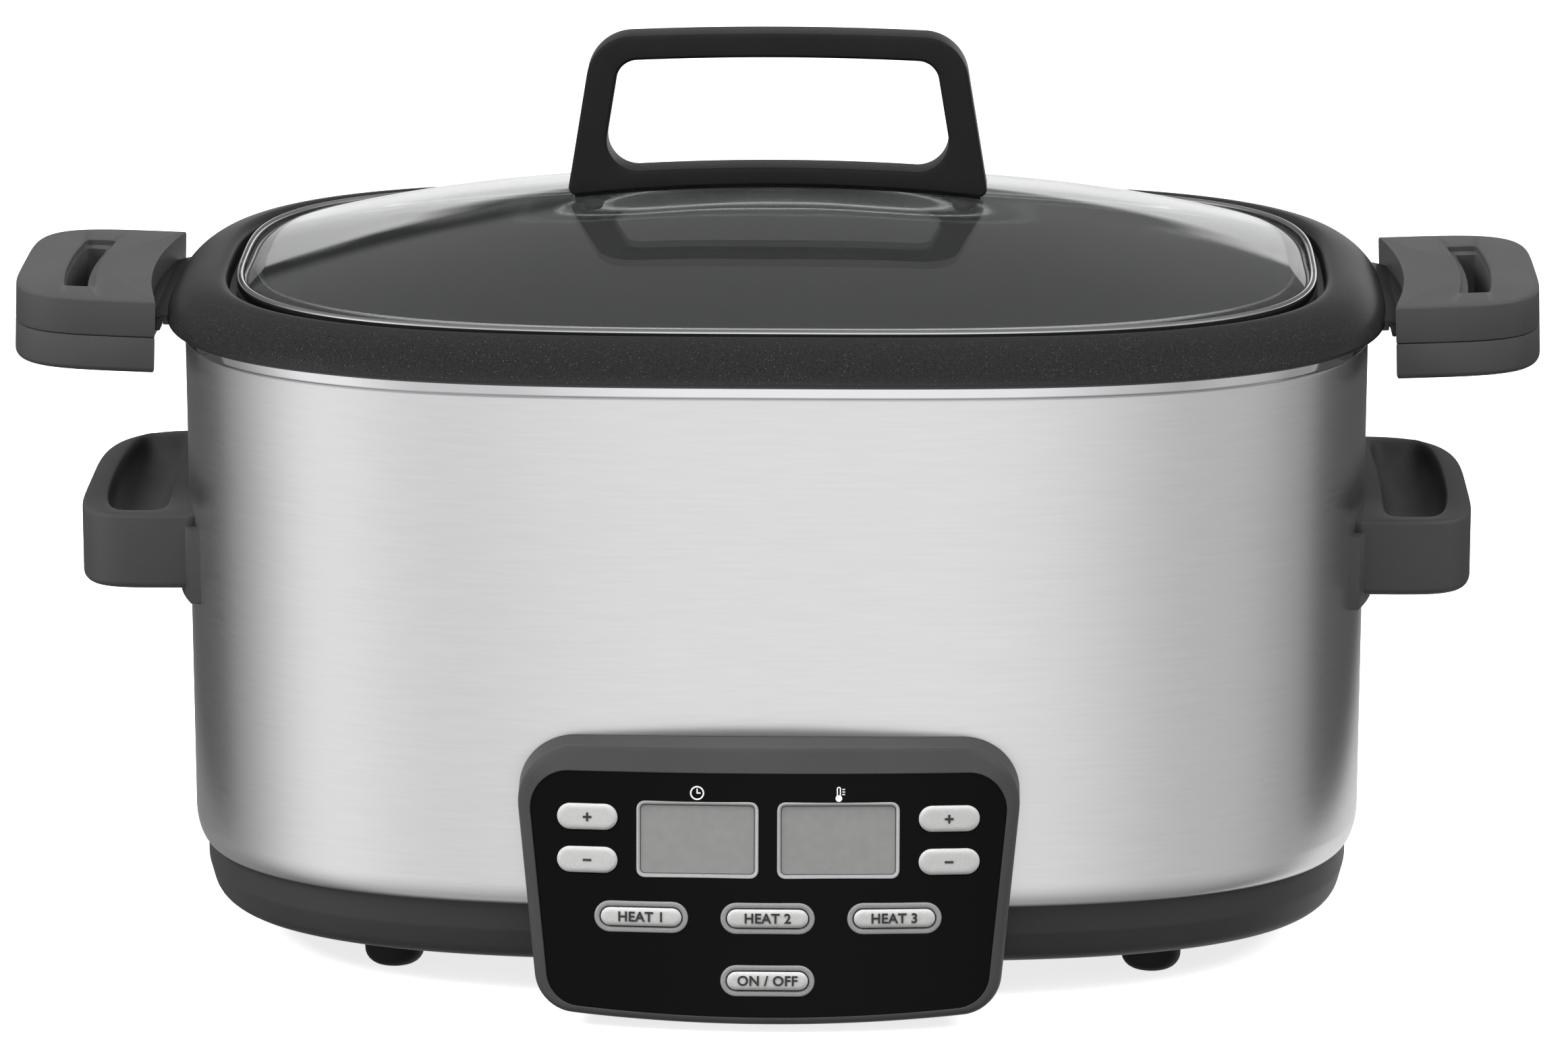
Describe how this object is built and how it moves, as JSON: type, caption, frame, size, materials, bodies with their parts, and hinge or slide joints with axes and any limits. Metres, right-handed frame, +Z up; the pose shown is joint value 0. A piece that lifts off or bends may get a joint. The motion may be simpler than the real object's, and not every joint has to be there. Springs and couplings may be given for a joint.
{
  "type": "slow cooker",
  "caption": "Oval electric slow cooker with a steel body, a tilted control panel, a lift-out pot with two grips and a domed glass lid.",
  "frame": {"origin": "middle of the bounding box's footprint, on the plane of the feet's undersides", "axes": "+X to the right as seen from the front, +Y to the back, +Z up; the control panel faces -Y"},
  "size_m": [0.4902, 0.2884, 0.2882],
  "materials": {
    "brushed_steel": "vertical brushing",
    "polished_steel": "polished",
    "pot_coating": "semi-gloss coating",
    "tinted_glass": "clear gloss",
    "grey_plastic": "fine satin",
    "black_plastic": "satin",
    "face_plate": "gloss",
    "display": "satin",
    "silver_plastic": "satin metallic",
    "key_plastic": "satin",
    "rubber": "matte",
    "aluminium": "matte",
    "element_sheath": "matte oxide",
    "screw_steel": "plated",
    "circuit_board": "satin",
    "ceramic": "matte"
  },
  "bodies": {
    "housing": {"housing_shell": "brushed_steel", "shell_trim_ring": "polished_steel", "base_pan": "grey_plastic", "bottom_cover": "aluminium", "front_left_foot": "rubber", "front_right_foot": "rubber", "rear_left_foot": "rubber", "rear_right_foot": "rubber", "inner_liner": "aluminium", "heating_plate": "aluminium", "heating_element": "element_sheath", "heat_shield": "aluminium", "thermal_fuse": "ceramic", "sensor_guide": "aluminium", "sensor_spring": "screw_steel", "left_body_handle": "grey_plastic", "right_body_handle": "grey_plastic", "body_handle_screws": "screw_steel", "control_bezel": "grey_plastic", "panel_lens": "face_plate", "panel_housing": "black_plastic", "panel_screws": "screw_steel", "left_display_frame": "silver_plastic", "right_display_frame": "silver_plastic", "left_display": "display", "right_display": "display", "slow_key_ring": "silver_plastic", "brown_key_ring": "silver_plastic", "steam_key_ring": "silver_plastic", "start_key_ring": "silver_plastic", "control_board": "circuit_board", "power_board": "circuit_board", "board_screws": "screw_steel", "base_screws": "screw_steel", "cord_gland": "rubber"},
    "pot": {"cooking_pot": "pot_coating", "left_grip_top": "grey_plastic", "left_grip_bottom": "grey_plastic", "right_grip_top": "grey_plastic", "right_grip_bottom": "grey_plastic", "grip_screws": "screw_steel"},
    "lid": {"lid_glass": "tinted_glass", "lid_band": "polished_steel", "lid_handle": "black_plastic", "lid_handle_gasket": "rubber", "lid_handle_washers": "screw_steel", "lid_handle_screws": "screw_steel"},
    "time_plus_key_body": {"time_plus_key": "key_plastic"},
    "time_minus_key_body": {"time_minus_key": "key_plastic"},
    "temp_plus_key_body": {"temp_plus_key": "key_plastic"},
    "temp_minus_key_body": {"temp_minus_key": "key_plastic"},
    "slow_key_body": {"slow_key": "key_plastic"},
    "brown_key_body": {"brown_key": "key_plastic"},
    "steam_key_body": {"steam_key": "key_plastic"},
    "start_key_body": {"start_key": "key_plastic"},
    "sensor_body": {"sensor_plunger": "polished_steel"}
  },
  "joints": [
    {"name": "pot_lift", "type": "slide", "parent": "housing", "child": "pot", "axis": [0, 0, 1], "range_m": [0, 0.15]},
    {"name": "lid_lift", "type": "slide", "parent": "pot", "child": "lid", "axis": [0, 0, 1], "range_m": [0, 0.08]},
    {"name": "time_plus_key_press", "type": "slide", "parent": "housing", "child": "time_plus_key_body", "axis": [0, 0.9893, -0.1461], "range_m": [0, 0.0006], "stiffness_N_per_m": 500, "springref_m": -0.001},
    {"name": "time_minus_key_press", "type": "slide", "parent": "housing", "child": "time_minus_key_body", "axis": [0, 0.9893, -0.1461], "range_m": [0, 0.0006], "stiffness_N_per_m": 500, "springref_m": -0.001},
    {"name": "temp_plus_key_press", "type": "slide", "parent": "housing", "child": "temp_plus_key_body", "axis": [0, 0.9893, -0.1461], "range_m": [0, 0.0006], "stiffness_N_per_m": 500, "springref_m": -0.001},
    {"name": "temp_minus_key_press", "type": "slide", "parent": "housing", "child": "temp_minus_key_body", "axis": [0, 0.9893, -0.1461], "range_m": [0, 0.0006], "stiffness_N_per_m": 500, "springref_m": -0.001},
    {"name": "slow_key_press", "type": "slide", "parent": "housing", "child": "slow_key_body", "axis": [0, 0.9893, -0.1461], "range_m": [0, 0.0006], "stiffness_N_per_m": 500, "springref_m": -0.001},
    {"name": "brown_key_press", "type": "slide", "parent": "housing", "child": "brown_key_body", "axis": [0, 0.9893, -0.1461], "range_m": [0, 0.0006], "stiffness_N_per_m": 500, "springref_m": -0.001},
    {"name": "steam_key_press", "type": "slide", "parent": "housing", "child": "steam_key_body", "axis": [0, 0.9893, -0.1461], "range_m": [0, 0.0006], "stiffness_N_per_m": 500, "springref_m": -0.001},
    {"name": "start_key_press", "type": "slide", "parent": "housing", "child": "start_key_body", "axis": [0, 0.9893, -0.1461], "range_m": [0, 0.0006], "stiffness_N_per_m": 500, "springref_m": -0.001},
    {"name": "sensor_press", "type": "slide", "parent": "housing", "child": "sensor_body", "axis": [0, 0, 1], "range_m": [-0.002, 0], "stiffness_N_per_m": 300, "springref_m": 0.002, "deforming": ["sensor_spring"]}
  ]
}
